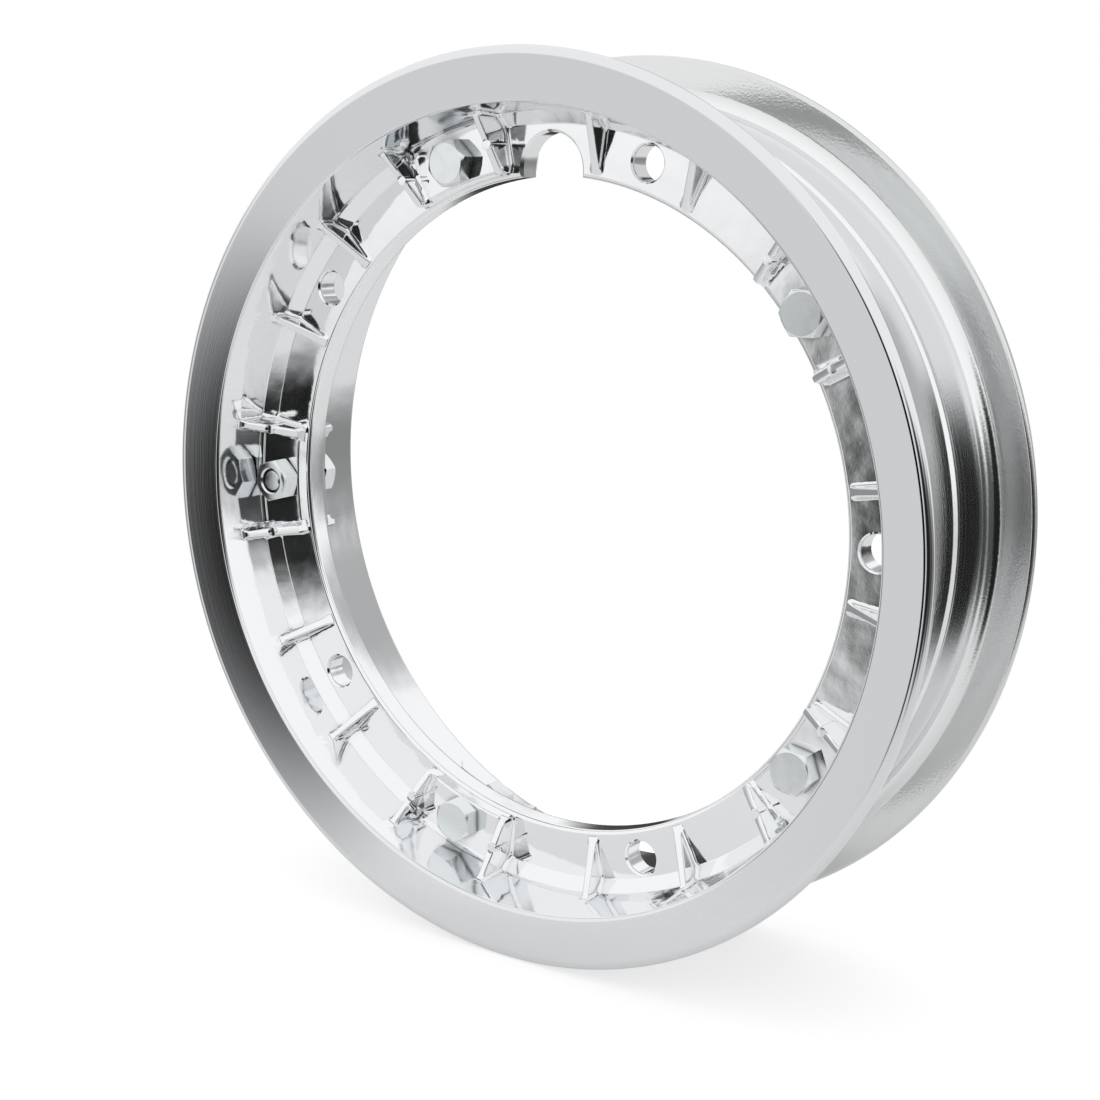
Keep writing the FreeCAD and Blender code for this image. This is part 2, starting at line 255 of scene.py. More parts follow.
class FastenerSizes(bpy.types.PropertyGroup):
    """Sizes of the clamp bolts and nuts."""
    bolt_radius: length("Bolt radius", "Thread crest", 0.004)
    bolt_length: length("Bolt length", "From the bearing face to the end", 0.020)
    bolt_chamfer: length("Bolt chamfer", "Chamfer of the bolt's end", 0.0009)
    thread_pitch: length("Thread pitch", "Advance of one turn", 0.00125)
    thread_depth: length("Thread depth", "From crest to root", 0.0007)
    hex_flats: length("Hex flats", "Across the flats of heads and nuts", 0.013)
    hex_face: length("Hex face", "Radius of the flat end of a hexagon", 0.0061)
    hex_chamfer: turn("Hex chamfer", "Slope of the turned-off corners", 30)
    hex_edge: length("Hex edge", "Rounding of a hexagon's edges", 0.00022)
    head_height: length("Head height", "Height of a bolt head", 0.0053)
    nut_height: length("Nut height", "Height of a nut", 0.0065)
    nut_bore: length("Nut bore", "Radius of a nut's bore", 0.0041)
    nut_mouth: length("Nut mouth", "Chamfer of a nut's bore", 0.0005)
    turned: bpy.props.IntProperty(name="Turned", description="Station whose bolt is turned round",
                                  default=2)
    hex_turns: bpy.props.FloatVectorProperty(
        name="Hex turns", description="How far each hexagon is turned", size=5,
        subtype="EULER", unit="ROTATION",
        default=[math.radians(degrees) for degrees in (0, 16, 15, 30, 48)])


class Finishes(bpy.types.PropertyGroup):
    """Colours and roughness of the finishes."""
    alloy: colour("Alloy", "Polished cast alloy", (0.90, 0.91, 0.92, 1))
    machined: colour("Machined", "Turned lip faces", (0.80, 0.81, 0.83, 1))
    zinc: colour("Zinc", "Zinc plate on bolts and nuts", (0.74, 0.79, 0.80, 1))
    pale_zinc: colour("Pale zinc", "Brighter clouds in the zinc plate", (0.86, 0.88, 0.88, 1))
    # Darker colour that the bead seat turns to up the flange's back
    flange_back: colour("Flange back", "Less polished backs of the flanges", (0.76, 0.77, 0.77, 1))
    # Painted shade: the colour that creases are darkened towards, standing in for the shade that falls in
    # them
    crease_shade: colour("Crease", "Dull metal in creases", (0.10, 0.10, 0.095, 1))
    rubber: colour("Rubber", "Seal ring", (0.015, 0.015, 0.016, 1))
    casting_roughness: share("Casting roughness", "Roughness of the polished casting", 0.07)
    lip_roughness: share("Lip roughness", "Roughness of the turned lip faces", 0.09)
    seat_roughness: share("Seat roughness", "Roughness of the bead seats", 0.10)
    zinc_roughness: share("Zinc roughness", "Roughness of the zinc plate", 0.20)
    rubber_roughness: share("Rubber roughness", "Roughness of the seal ring", 0.50)


class Studio(bpy.types.PropertyGroup):
    """Camera and floor."""
    eye: spot("Eye", "Place of the camera", (0.3436, -0.4844, 0.1055))
    target: spot("Target", "What the camera points at", (0.01761, -0.0365, -0.0062))
    lens: bpy.props.FloatProperty(name="Lens", description="Focal length in millimetres", default=62.23,
                                  unit="CAMERA")
    floor_radius: length("Floor radius", "Pale floor round the wheel", 0.32)
    floor_colour: colour("Floor colour", "Colour of the floor", (0.55, 0.55, 0.55, 1))
    floor_lift: share("Floor lift", "Light that whitens the floor for the eye", 0.58)
    floor_mirrored: share("Floor mirrored", "Share of that light which reflections show", 0.5)


def depth_of(rim, side):
    """Depth of a half from the joint face to its lip; side is -1 for the front half and 1 for the rear."""
    return rim.half_width - side * rim.split_place


def stud_angles(rim):
    """Angles of the stud holes."""
    return [math.tau * index / rim.stations for index in range(rim.stations)]


def bolt_angles(rim):
    """Angles of the clamp bolts, midway between the studs."""
    return [angle + math.pi / rim.stations for angle in stud_angles(rim)]


def rib_angle(rim):
    """Angle from a station to the ribs beside it."""
    return math.tau / rim.stations / RIB_SPACES


def lip_place(rim, depth, radius):
    """Axial place of the tilted lip face at a radius; its rounded edge just reaches the half's depth."""
    touch_radius = rim.lip_radius - rim.lip_edge * (1 + math.sin(rim.lip_tilt))
    touch_place = depth - rim.lip_edge * (1 - math.cos(rim.lip_tilt))
    return touch_place - (touch_radius - radius) * math.tan(rim.lip_tilt)


def wall_radius(rim, depth, place):
    """Radius of the drafted inner wall at an axial place of a half."""
    mouth_place = lip_place(rim, depth, rim.mouth_radius)
    climb = (place - rim.web) / (mouth_place - rim.web)
    return rim.wall_root + climb * (rim.mouth_radius - rim.wall_root)


def wire(corners, closed=True):
    """New mesh with a wire through corners (radius, place) or (radius, place, rounding) at z = 0."""
    mesh = bmesh.new()
    points = [Vector((corner[0], corner[1], 0)) for corner in corners]
    verts = [mesh.verts.new(point) for point in points]
    for first, second in zip(verts, verts[1:]):
        mesh.edges.new((first, second))
    if closed:
        mesh.edges.new((verts[-1], verts[0]))
    for index, corner in enumerate(corners):
        if len(corner) > 2:
            to_last = points[index - 1] - points[index]
            to_next = points[(index + 1) % len(points)] - points[index]
            setback = corner[2] / math.tan(to_last.angle(to_next) / 2)
            bmesh.ops.bevel(mesh, geom=[verts[index]], offset=setback, offset_type="OFFSET",
                            segments=ROUNDING_STEPS, profile=0.5, affect="VERTICES", material=-1)
    return mesh


def close_up(mesh):
    """Weld a mesh, fill its open ends and point its faces outwards."""
    bmesh.ops.remove_doubles(mesh, verts=mesh.verts, dist=WELD_DISTANCE)
    bmesh.ops.holes_fill(mesh, edges=[edge for edge in mesh.edges if edge.is_boundary])
    bmesh.ops.recalc_face_normals(mesh, faces=mesh.faces)
    return mesh


def spun(corners, steps, closed=True):
    """Closed mesh of a profile spun right round the axle."""
    mesh = wire(corners, closed)
    bmesh.ops.spin(mesh, geom=mesh.verts[:] + mesh.edges[:], cent=ORIGIN, axis=AXLE, dvec=ORIGIN,
                   angle=math.tau, steps=steps, use_merge=True, use_duplicate=False)
    return close_up(mesh)


def sector(corners, angle, steps):
    """Closed mesh of a profile spun part of the way round the axle, centred on the +X direction."""
    mesh = wire(corners)
    bmesh.ops.spin(mesh, geom=mesh.verts[:] + mesh.edges[:], cent=ORIGIN, axis=AXLE, dvec=ORIGIN,
                   angle=angle, steps=steps, use_merge=False, use_duplicate=False)
    bmesh.ops.rotate(mesh, verts=mesh.verts, cent=ORIGIN, matrix=Matrix.Rotation(-angle / 2, 3, "Y"))
    return close_up(mesh)


def moved(mesh, offset):
    """Move a mesh."""
    bmesh.ops.translate(mesh, verts=mesh.verts, vec=Vector(offset))
    return mesh


def gathered(placements):
    """One mesh from pairs of a mesh and the matrix that places a copy of it."""
    result = bmesh.new()
    for piece, matrix in placements:
        copy = bpy.data.meshes.new("copy")
        piece.to_mesh(copy)
        copy.transform(matrix)
        result.from_mesh(copy)
        bpy.data.meshes.remove(copy)
    bmesh.ops.recalc_face_normals(result, faces=result.faces)
    return result


def round_axle(angle):
    """Matrix that turns from +X towards +Z."""
    return Matrix.Rotation(-angle, 4, "Y")


def new_object(name, mesh, materials=()):
    """Linked object from a bmesh, which is freed."""
    data = bpy.data.meshes.new(name)
    mesh.to_mesh(data)
    mesh.free()
    for material in materials:
        data.materials.append(material)
    obj = bpy.data.objects.new(name, data)
    bpy.context.scene.collection.objects.link(obj)
    return obj


def apply_modifiers(obj):
    """Put an object's modifiers into its mesh."""
    bpy.context.view_layer.update()
    graph = bpy.context.evaluated_depsgraph_get()
    old = obj.data
    name = old.name
    obj.data = bpy.data.meshes.new_from_object(obj.evaluated_get(graph))
    obj.modifiers.clear()
    bpy.data.meshes.remove(old)
    obj.data.name = name


def combine(obj, mesh, operation):
    """Join a closed mesh to an object, or cut it away, by Boolean."""
    tool = new_object("tool", mesh, obj.data.materials)
    modifier = obj.modifiers.new(operation, "BOOLEAN")
    modifier.operation = operation
    modifier.solver = "MANIFOLD"
    modifier.object = tool
    apply_modifiers(obj)
    tool_mesh = tool.data
    bpy.data.objects.remove(tool)
    bpy.data.meshes.remove(tool_mesh)
    if not obj.data.polygons:
        raise RuntimeError(f"{operation} left nothing of {obj.name}")


def finish_piece(obj):
    """Smooth the shading between the sharp edges and let the piece ride on the wheel."""
    obj.data.shade_smooth()
    obj.data.set_sharp_from_angle(angle=SMOOTH_ANGLE)
    weighted = obj.modifiers.new("Flat faces stay flat", "WEIGHTED_NORMAL")
    weighted.mode = "FACE_AREA"
    weighted.weight = FLAT_FACE_WEIGHT
    weighted.keep_sharp = True
    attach(obj, "root")


def ring(rim, depth, grooved):
    """Web, wall, bead seat, flange and lip of one half, with the seal groove if it has one."""
    flange_place = depth - rim.flange_thickness
    back_place = flange_place + (rim.lip_radius - rim.seat_radius) * math.tan(rim.flange_lean)
    seat_fall = math.tan(rim.seat_taper)
    hump_place = flange_place - rim.hump_distance
    hump_radius = rim.seat_radius - rim.hump_distance * seat_fall
    blend = rim.hump_width / 2
    chamfer_top = rim.web + rim.corner
    corners = [
        (rim.centre_radius, 0),
        (rim.centre_radius, rim.web, rim.centre_edge),
        (rim.wall_root - rim.corner, rim.web, rim.corner_edge),
        (wall_radius(rim, depth, chamfer_top), chamfer_top, rim.corner_edge),
        (rim.mouth_radius, lip_place(rim, depth, rim.mouth_radius), rim.mouth_edge),
        (rim.lip_radius, lip_place(rim, depth, rim.lip_radius), rim.lip_edge),
        (rim.lip_radius, back_place, rim.lip_back),
        (rim.seat_radius, flange_place, rim.seat_corner),
        (hump_radius + blend * seat_fall, hump_place + blend, blend),
        (hump_radius + rim.hump_height, hump_place, blend),
        (hump_radius, hump_place - blend, blend),
        (hump_radius, rim.joint_break),
        (hump_radius - rim.joint_break, 0),
    ]
    if grooved:
        outer = rim.groove_radius + rim.groove_width / 2
        inner = rim.groove_radius - rim.groove_width / 2
        corners += [(outer, 0), (outer, rim.groove_depth), (inner, rim.groove_depth), (inner, 0)]
    mesh = spun(corners, RING_STEPS)
    for face in mesh.faces:
        face.material_index = zone(rim, depth, face)
    return mesh


def zone(rim, depth, face):
    """Finish of a face of the ring: turned lip, bead seat or polished casting."""
    centre = face.calc_center_median()
    radius = math.hypot(centre.x, centre.z)
    outward = (face.normal.x * centre.x + face.normal.z * centre.z) / radius
    if radius > rim.mouth_radius and face.normal.y > 0:
        return LIP
    flange_back = radius > rim.seat_radius and face.normal.y < 0
    if flange_back or outward > SEAT_FACING and centre.y < depth - rim.flange_thickness:
        return SEAT
    return CASTING


def rounded_off(distance, radius):
    """Depth of a rounding at a distance from its start, from the radius down to nothing."""
    reach = min(max(distance, 0), radius)
    return radius - math.sqrt(radius ** 2 - (radius - reach) ** 2)


def along(points, part):
    """Point at a part, from 0 to 1, of the way along a line of points."""
    lengths = [(second - first).length for first, second in zip(points, points[1:])]
    left = part * sum(lengths)
    for first, second, step in zip(points, points[1:], lengths):
        if left <= step:
            return first.lerp(second, left / step)
        left -= step
    return points[-1]


def rib(rim, depth, rise, far_floor):
    """Cast gusset on the +X side with rounded crest and roots; its far side may stand on a higher floor."""
    sink = rim.web * RIB_SINK
    toe = rim.web + rim.rib_toe + rise
    crest = rim.web + rim.rib_height + rise
    crest_radius = wall_radius(rim, depth, crest)
    slope = (crest - toe) / (crest_radius - rim.rib_toe_radius)
    chamfer_top = rim.web + rim.corner
    base = [
        Vector((rim.rib_toe_radius, rim.web - sink)),
        Vector((rim.wall_root - rim.corner + sink, rim.web - sink)),
        Vector((wall_radius(rim, depth, chamfer_top) + sink, chamfer_top - sink)),
        Vector((crest_radius + sink, crest)),
    ]

    def crest_point(part):
        """Point of the crest at a part of the way from the toe to the wall."""
        radius = rim.rib_toe_radius + part * (crest_radius + sink - rim.rib_toe_radius)
        blend = rounded_off(crest_radius - radius + sink, rim.rib_root)
        return Vector((radius, toe + slope * (radius - rim.rib_toe_radius) + blend))

    def half_width(point, floor):
        """Half of the rib's width at a point, on the side that stands on a floor."""
        to_wall = wall_radius(rim, depth, point.y) - point.x
        to_floor = point.y - floor
        to_chamfer = (to_floor - point.x + rim.wall_root - rim.corner) / math.sqrt(2)
        root = rounded_off(min(to_wall, to_floor, to_chamfer) + sink * ROOT_SINK, rim.rib_root)
        to_crest = (toe + slope * (point.x - rim.rib_toe_radius) - point.y) / math.hypot(1, slope)
        edge = rounded_off(min(to_crest, point.x - rim.rib_toe_radius), rim.rib_edge)
        return rim.rib_width / 2 + (crest - point.y) * math.tan(rim.rib_draft) + root - edge

    mesh = bmesh.new()
    for side, floor in ((1, rim.web), (-1, far_floor)):
        made = bmesh.ops.create_grid(mesh, x_segments=RIB_LONG_STEPS, y_segments=RIB_HIGH_STEPS, size=1)
        for vert in made["verts"]:
            part = (vert.co.x + 1) / 2
            rising = (1 + math.sin(vert.co.y * math.pi / 2)) / 2
            point = along(base, part).lerp(crest_point(part), rising)
            vert.co = (point.x, point.y, side * half_width(point, floor))
    bmesh.ops.bridge_loops(mesh, edges=[edge for edge in mesh.edges if edge.is_boundary])
    return close_up(mesh)


def pad(rim, depth):
    """Raised pad that fills the bay between two tall ribs, on the +X side."""
    sink = rim.web * PAD_SINK
    face = rim.web + rim.pad_height
    top = face + 2 * rim.pad_corner
    return sector([
        (rim.pad_radius - rim.pad_height / 2, rim.web - sink),
        (rim.pad_radius, face, rim.pad_edge),
        (wall_radius(rim, depth, face), face, rim.pad_corner),
        (wall_radius(rim, depth, top), top),
        (wall_radius(rim, depth, top) + sink, top),
        (wall_radius(rim, depth, top) + sink, rim.web - sink),
    ], 2 * rib_angle(rim), PAD_STEPS)


def mark_level(rim, depth):
    """Axial place of a tall rib's crest at its ejector mark."""
    crest = rim.web + rim.rib_height + rim.tall_rise
    crest_radius = wall_radius(rim, depth, crest)
    slope = (rim.rib_height - rim.rib_toe) / (crest_radius - rim.rib_toe_radius)
    return crest - slope * (crest_radius - rim.mark_circle)


def mark_pin(rim, depth):
    """Round end of an ejector mark, sunk through the rib."""
    level = mark_level(rim, depth)
    pin = spun([
        (0, rim.web / 2),
        (rim.mark_radius, rim.web / 2),
        (rim.mark_radius, level, rim.mark_edge),
        (0, level),
    ], HOLE_STEPS, closed=False)
    return moved(pin, (rim.mark_circle, 0, 0))


def mark_relief(rim, depth):
    """Cutter that clears a rib above its ejector mark."""
    level = mark_level(rim, depth)
    relief = spun([
        (0, level),
        (rim.mark_radius, level),
        (rim.mark_radius, level + rim.rib_height),
        (0, level + rim.rib_height),
    ], HOLE_STEPS, closed=False)
    return moved(relief, (rim.mark_circle, 0, 0))


def hole(rim, radius, edge, face):
    """Cutter for a round hole through one web up to a face, with a rounded edge there."""
    cutter = spun([
        (0, -rim.web),
        (radius, -rim.web),
        (radius, face - edge, edge),
        (radius + 2 * edge, face + edge),
        (0, face + edge),
    ], HOLE_STEPS, closed=False)
    return moved(cutter, (rim.station_radius, 0, 0))


def notch(rim):
    """Cutter for the valve notch, with a broken edge at the web's outer face."""
    mesh = bmesh.new()
    made = bmesh.ops.create_circle(mesh, cap_ends=True, segments=2 * HOLE_STEPS, radius=rim.notch_radius)
    bmesh.ops.rotate(mesh, verts=made["verts"], cent=ORIGIN, matrix=Matrix.Rotation(math.pi / 2, 3, "X"))
    inner = [vert for vert in made["verts"] if vert.co.x < 0]
    bmesh.ops.translate(mesh, verts=inner, vec=(-2 * rim.notch_radius, 0, 0))
    bmesh.ops.translate(mesh, verts=made["verts"], vec=(0, -rim.web, 0))
    grow = 1 + 2 * rim.notch_edge / rim.notch_radius
    face = mesh.faces[:]
    for rise, scale in ((2 * rim.web - rim.notch_edge, 1), (2 * rim.notch_edge, grow)):
        grown = bmesh.ops.extrude_face_region(mesh, geom=face)["geom"]
        verts = [item for item in grown if isinstance(item, bmesh.types.BMVert)]
        old_face = face
        face = [item for item in grown if isinstance(item, bmesh.types.BMFace)]
        bmesh.ops.translate(mesh, verts=verts, vec=(0, rise, 0))
        bmesh.ops.scale(mesh, verts=verts, vec=(scale, 1, scale))
        if scale != 1:
            bmesh.ops.delete(mesh, geom=old_face, context="FACES_ONLY")
    moved(mesh, (rim.centre_radius + rim.notch_depth - rim.notch_radius, 0, 0))
    return close_up(mesh)


def valve_hole(rim):
    """Cutter for the valve hole through the rear wall."""
    cutter = spun([
        (0, 0),
        (rim.valve_hole, 0),
        (rim.valve_hole, rim.lip_radius - rim.station_radius),
        (0, rim.lip_radius - rim.station_radius),
    ], HOLE_STEPS, closed=False)
    bmesh.ops.rotate(cutter, verts=cutter.verts, cent=ORIGIN, matrix=Matrix.Rotation(-math.pi / 2, 3, "Z"))
    return moved(cutter, (rim.station_radius, rim.valve_offset, 0))


def cast_half(rim, side, name, materials):
    """One half with its pads, ribs, marks, holes and notch, in its place on the wheel."""
    depth = depth_of(rim, side)
    ribs = rib_angle(rim)
    pad_face = rim.web + rim.pad_height
    low = rib(rim, depth, 0, rim.web)
    tall = rib(rim, depth, rim.tall_rise, pad_face)
    flipped = Matrix.Scale(-1, 4, (0, 0, 1))
    tall_places = [round_axle(angle + ribs) for angle in bolt_angles(rim)]
    tall_places += [round_axle(angle - ribs) @ flipped for angle in bolt_angles(rim)]
    low_places = [round_axle(angle + way * ribs) for angle in stud_angles(rim) for way in (1, -1)]
    studs = [round_axle(angle) for angle in stud_angles(rim)]
    bolts = [round_axle(angle) for angle in bolt_angles(rim)]
    stud_cutter = hole(rim, rim.stud_hole, rim.stud_edge, rim.web)
    bolt_cutter = hole(rim, rim.bolt_hole, rim.joint_break, pad_face)
    cutters = [(stud_cutter, place) for place in studs] + [(bolt_cutter, place) for place in bolts]
    cutters.append((notch(rim), round_axle(rim.valve_angle)))
    if side > 0:
        cutters.append((valve_hole(rim), round_axle(rim.valve_angle)))
    half = new_object(name, ring(rim, depth, side > 0), materials)
    bay = pad(rim, depth)
    pin = mark_pin(rim, depth)
    relief = mark_relief(rim, depth)
    combine(half, gathered([(bay, place) for place in bolts]), "UNION")
    gussets = [(low, place) for place in low_places] + [(tall, place) for place in tall_places]
    combine(half, gathered(gussets), "UNION")
    combine(half, gathered([(pin, place) for place in tall_places]), "UNION")
    combine(half, gathered([(relief, place) for place in tall_places]), "DIFFERENCE")
    combine(half, gathered(cutters), "DIFFERENCE")
    half.data.transform(Matrix.Translation((0, rim.split_place, 0)) @ Matrix.Scale(side, 4, AXLE))
    if side < 0:
        half.data.flip_normals()
    return half


def hexagon(fastener, height, both_ends):
    """Hexagon along +Y from y = 0 with turned-off corners at the far end or at both ends."""
    corner_radius = fastener.hex_flats / math.sqrt(3)
    drop = (corner_radius - fastener.hex_face) * math.tan(fastener.hex_chamfer)
    mesh = bmesh.new()
    bmesh.ops.create_cone(mesh, cap_ends=True, segments=HEX_SIDES, radius1=corner_radius,
                          radius2=corner_radius, depth=height)
    bmesh.ops.rotate(mesh, verts=mesh.verts, cent=ORIGIN, matrix=Matrix.Rotation(math.pi / 2, 3, "X"))
    bmesh.ops.rotate(mesh, verts=mesh.verts, cent=ORIGIN, matrix=Matrix.Rotation(math.pi / 2, 3, "Y"))
    moved(mesh, (0, height / 2, 0))
    bmesh.ops.recalc_face_normals(mesh, faces=mesh.faces)
    near = [(fastener.hex_face, 0), (corner_radius, drop)] if both_ends else [(corner_radius, 0)]
    far = [(corner_radius, height - drop), (fastener.hex_face, height)]
    obj = new_object("hexagon", mesh)
    combine(obj, spun([(0, 0)] + near + far + [(0, height)], 2 * HOLE_STEPS, closed=False), "INTERSECT")
    bevel = obj.modifiers.new("Worn edges", "BEVEL")
    bevel.width = fastener.hex_edge
    bevel.segments = HEX_EDGE_STEPS
    bevel.limit_method = "ANGLE"
    bevel.angle_limit = HEX_EDGE_ANGLE
    apply_modifiers(obj)
    return obj


def threaded_rod(fastener):
    """Bolt shank with a cut thread and a chamfered end, along +Y from just under the head."""
    crest = fastener.bolt_radius
    root = crest - fastener.thread_depth
    pitch = fastener.thread_pitch
    turns = math.ceil(fastener.bolt_length / pitch) + THREAD_SPARE_TURNS
    mesh = wire([
        (root, 0),
        (root, pitch * THREAD_ROOT_END),
        (crest, pitch * THREAD_CREST_START),
        (crest, pitch * THREAD_CREST_END),
        (root, pitch),
    ], closed=False)
    bmesh.ops.spin(mesh, geom=mesh.verts[:] + mesh.edges[:], cent=ORIGIN, axis=AXLE,
                   dvec=(0, pitch / THREAD_STEPS, 0), angle=turns * math.tau, steps=turns * THREAD_STEPS,
                   use_merge=False, use_duplicate=False)
    obj = new_object("rod", moved(close_up(mesh), (0, -pitch, 0)))
    start = -fastener.bolt_chamfer
    envelope = spun([
        (0, start),
        (crest + pitch, start),
        (crest + pitch, fastener.bolt_length - fastener.bolt_chamfer - pitch),
        (crest - fastener.bolt_chamfer, fastener.bolt_length),
        (0, fastener.bolt_length),
    ], HOLE_STEPS, closed=False)
    combine(obj, envelope, "INTERSECT")
    return obj


def taken_mesh(obj):
    """The bmesh of a helper object, which is removed."""
    mesh = bmesh.new()
    mesh.from_mesh(obj.data)
    data = obj.data
    bpy.data.objects.remove(obj)
    bpy.data.meshes.remove(data)
    return mesh


def at_stations(rim, fastener, piece, bearing):
    """Copies of a fastener that stands on a bearing face, at the bolt stations."""
    places = []
    for index, angle in enumerate(bolt_angles(rim)):
        side = -1 if index == fastener.turned else 1
        spin = round_axle(fastener.hex_turns[index] - angle)
        stand = Matrix.Translation((rim.station_radius, 0, 0)) @ Matrix.Scale(side, 4, AXLE)
        stand = stand @ spin @ Matrix.Translation((0, bearing, 0))
        places.append((piece, Matrix.Translation((0, rim.split_place, 0)) @ round_axle(angle) @ stand))
    return gathered(places)


class NodeMaker:
    """Adds nodes to a node tree and links them."""

    def __init__(self, tree):
        self.tree = tree
        self.tree.nodes.clear()

    def add(self, kind, inputs=None, **settings):
        """New node with settings and inputs; an input may be a value or another node's output."""
        node = self.tree.nodes.new(kind)
        for name, value in settings.items():
            setattr(node, name, value)
        for name, value in (inputs or {}).items():
            if isinstance(value, bpy.types.NodeSocket):
                self.tree.links.new(value, node.inputs[name])
            else:
                node.inputs[name].default_value = value
        return node

    def math(self, operation, first, second):
        """Output of a math node."""
        return self.add("ShaderNodeMath", {0: first, 1: second}, operation=operation).outputs[0]

    def spread(self, value, low, high, to_low, to_high):
        """Output of a smooth map of a value from one range to another."""
        inputs = {"Value": value, "From Min": low, "From Max": high, "To Min": to_low, "To Max": to_high}
        return self.add("ShaderNodeMapRange", inputs, interpolation_type="SMOOTHSTEP").outputs["Result"]

    def mix(self, factor, first, second):
        """Output of a mix from a first colour to a second."""
        inputs = {"Factor": factor, MIX_FIRST: first, MIX_SECOND: second}
        return self.add("ShaderNodeMix", inputs, data_type="RGBA").outputs[MIX_RESULT]

    def noise(self, place, grain):
        """Output of noise through the solid."""
        inputs = {"Vector": place, "Scale": grain.scale, "Detail": grain.detail}
        return self.add("ShaderNodeTexNoise", inputs).outputs["Fac"]

    def rings(self, distance, grain):
        """Output of noise that changes along one distance only."""
        inputs = {"W": distance, "Scale": grain.scale, "Detail": grain.detail}
        return self.add("ShaderNodeTexNoise", inputs, noise_dimensions="1D").outputs["Fac"]

    def uneven(self, noise, value, swing):
        """Output that runs between two multiples of a value over the middle of a noise's range."""
        return self.spread(noise, NOISE_LOW, NOISE_HIGH, value * swing[0], value * swing[1])

    def bump(self, height, depth, before=None):
        """Output of a bump of a depth, over an earlier one if there is one."""
        inputs = {"Height": height, "Distance": depth, "Strength": 1.0}
        if before is not None:
            inputs["Normal"] = before
        return self.add("ShaderNodeBump", inputs).outputs["Normal"]


def new_material(name):
    """Empty material, its node maker and its object coordinates."""
    material = bpy.data.materials.new(name)
    material.use_nodes = True
    maker = NodeMaker(material.node_tree)
    return material, maker, maker.add("ShaderNodeTexCoord").outputs["Object"]


def shade(maker, inputs):
    """Principled surface of a material."""
    surface = maker.add("ShaderNodeBsdfPrincipled", inputs)
    maker.add("ShaderNodeOutputMaterial", {"Surface": surface.outputs["BSDF"]})


def shade_metal(maker, tint, rough, normal):
    """Bare metal surface of a material."""
    shade(maker, {"Base Color": tint, "Metallic": 1.0, "Roughness": rough, "Normal": normal})


def axle_distance(maker, place):
    """Distance of a place from the axle line."""
    flat = maker.add("ShaderNodeVectorMath", {0: place, 1: ACROSS_AXLE}, operation="MULTIPLY").outputs[0]
    return maker.add("ShaderNodeVectorMath", {0: flat}, operation="LENGTH").outputs["Value"]


def painted_crease_shade(maker, open_colour, shade_colour, reach):
    """Output of a colour with painted shade: darkened in creases, where an AO node finds the view shut in.
    """
    shut_in = maker.add("ShaderNodeAmbientOcclusion", {"Distance": reach}, samples=CREASE_SHADE_SAMPLES)
    factor = maker.spread(shut_in.outputs["AO"], CREASE_FULL_SHADE, CREASE_NO_SHADE, 0.0, 1.0)
    return maker.mix(factor, shade_colour, open_colour)


def polished_casting(finish):
    """Hand-polished cast alloy: mirror bright, with the slow waves and fine peel that polishing leaves."""
    material, maker, place = new_material("polished_casting")
    waves = maker.bump(maker.noise(place, CASTING_WAVES), CASTING_WAVES.depth)
    normal = maker.bump(maker.noise(place, CASTING_PEEL), CASTING_PEEL.depth, waves)
    rough = maker.uneven(maker.noise(place, CASTING_CLOUD), finish.casting_roughness, CASTING_SWING)
    # Painted shade: the alloy is darkened in creases by an AO node
    shade_metal(maker, painted_crease_shade(maker, finish.alloy, finish.crease_shade, CASTING_SHADE_REACH), rough, normal)
    return material


def turned_lip(finish):
    """Lathe-turned lip face: satin, with fine rings round the axle."""
    material, maker, place = new_material("turned_lip")
    rings = maker.rings(axle_distance(maker, place), LIP_RINGS)
    rough = maker.uneven(rings, finish.lip_roughness, LIP_SWING)
    shade_metal(maker, finish.machined, rough, maker.bump(rings, LIP_RINGS.depth))
    return material


def bead_seat(rim, finish):
    """Turned bead seat: bright, with broad faint rings and a fine grain, darker up the flange's back."""
    material, maker, place = new_material("bead_seat")
    rings = maker.rings(maker.add("ShaderNodeSeparateXYZ", {0: place}).outputs["Y"], SEAT_RINGS)
    rough = maker.uneven(rings, finish.seat_roughness, SEAT_SWING)
    ringed = maker.bump(rings, SEAT_RINGS.depth)
    normal = maker.bump(maker.noise(place, SEAT_GRAIN), SEAT_GRAIN.depth, ringed)
    flange_root = rim.seat_radius + rim.seat_corner
    climb = maker.spread(axle_distance(maker, place), rim.seat_radius, flange_root, 0.0, 1.0)
    shade_metal(maker, maker.mix(climb, finish.alloy, finish.flange_back), rough, normal)
    return material


def zinc_plate(name, finish):
    """Bright zinc plate over rolled steel, slightly clouded."""
    material, maker, place = new_material(name)
    cloud = maker.noise(place, ZINC_CLOUD)
    rough = maker.uneven(cloud, finish.zinc_roughness, ZINC_SWING)
    plate = maker.mix(cloud, finish.zinc, finish.pale_zinc)
    normal = maker.bump(maker.noise(place, ZINC_GRAIN), ZINC_GRAIN.depth)
    # Painted shade: the plate is darkened in creases by an AO node
    shade_metal(maker, painted_crease_shade(maker, plate, finish.crease_shade, ZINC_SHADE_REACH), rough, normal)
    return material


def seal_rubber(finish):
    """Matt black moulded rubber."""
    material, maker, place = new_material("seal_rubber")
    grain = maker.noise(place, RUBBER_GRAIN)
    rough = maker.uneven(grain, finish.rubber_roughness, RUBBER_SWING)
    normal = maker.bump(grain, RUBBER_GRAIN.depth)
    shade(maker, {"Base Color": finish.rubber, "Roughness": rough, "Normal": normal})
    return material


